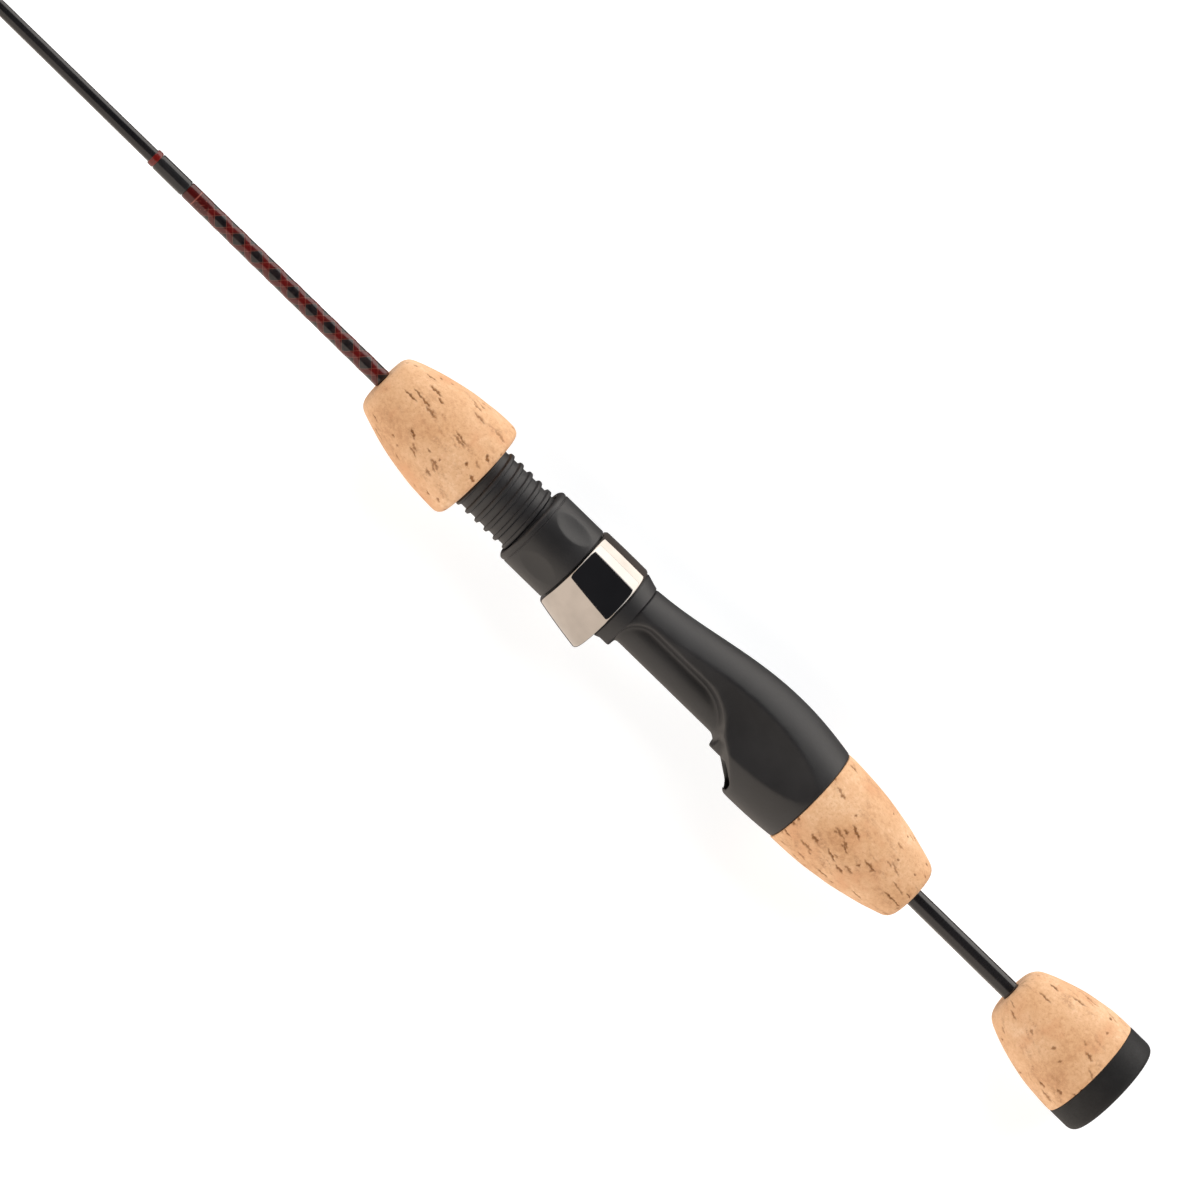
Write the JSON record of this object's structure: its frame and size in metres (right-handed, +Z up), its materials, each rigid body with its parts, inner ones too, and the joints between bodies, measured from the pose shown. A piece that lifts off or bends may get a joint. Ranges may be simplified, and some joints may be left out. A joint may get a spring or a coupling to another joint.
{
  "type": "ice fishing rod",
  "caption": "Short spinning rod for ice fishing with split cork grips, a skeleton reel seat with a sliding hood and lock nut, a slim tapered blank and line guides.",
  "frame": {"origin": "centre of the butt cap's flat rear face, on the rod's axis", "axes": "+X along the rod from butt to tip, +Y towards the reel and the line guides, +Z up with the rod lying on its side"},
  "size_m": [0.7121, 0.0328, 0.026],
  "materials": {
    "blank_gloss": "gloss",
    "cap_rubber": "matte",
    "cork": "satin",
    "seat_plastic": "matte",
    "arbor_foam": "matte",
    "diamond_thread": "gloss",
    "black_thread": "gloss",
    "red_thread": "gloss",
    "hood_metal": "polished",
    "liner_plastic": "matte",
    "nut_plastic": "matte",
    "guide_steel": "satin",
    "ring_ceramic": "polished"
  },
  "bodies": {
    "rod": {"blank": "blank_gloss", "butt_cap": "cap_rubber", "butt_cork": "cork", "rear_grip_cork": "cork", "seat_body": "seat_plastic", "arbor_rear": "arbor_foam", "arbor_middle": "arbor_foam", "arbor_front": "arbor_foam", "foregrip_cork": "cork", "diamond_wrap": "diamond_thread", "black_wrap": "black_thread", "trim_band": "red_thread", "tip_frame": "guide_steel", "tip_ring": "ring_ceramic", "tip_wrap": "black_thread", "guide_one_frame": "guide_steel", "guide_one_ring": "ring_ceramic", "guide_one_wrap": "black_thread", "guide_two_frame": "guide_steel", "guide_two_ring": "ring_ceramic", "guide_two_wrap": "black_thread", "guide_three_frame": "guide_steel", "guide_three_ring": "ring_ceramic", "guide_three_wrap": "black_thread", "guide_four_frame": "guide_steel", "guide_four_ring": "ring_ceramic", "guide_four_wrap": "black_thread", "guide_five_frame": "guide_steel", "guide_five_ring": "ring_ceramic", "guide_five_wrap": "black_thread"},
    "hood": {"hood_shell": "hood_metal", "hood_liner": "liner_plastic"},
    "nut": {"lock_nut": "nut_plastic"}
  },
  "joints": [
    {"name": "hood_slide", "type": "slide", "parent": "rod", "child": "hood", "axis": [1, 0, 0], "range_m": [0, 0.01425]},
    {"name": "nut_turn", "type": "hinge", "parent": "hood", "child": "nut", "pos_m": [0.1765, 0, 0], "axis": [1, 0, 0], "range_deg": [0, 1800]}
  ],
  "couplings": [
    {"joint": "nut_turn", "follows": "hood_slide", "rad_per_m": 2204.6}
  ]
}
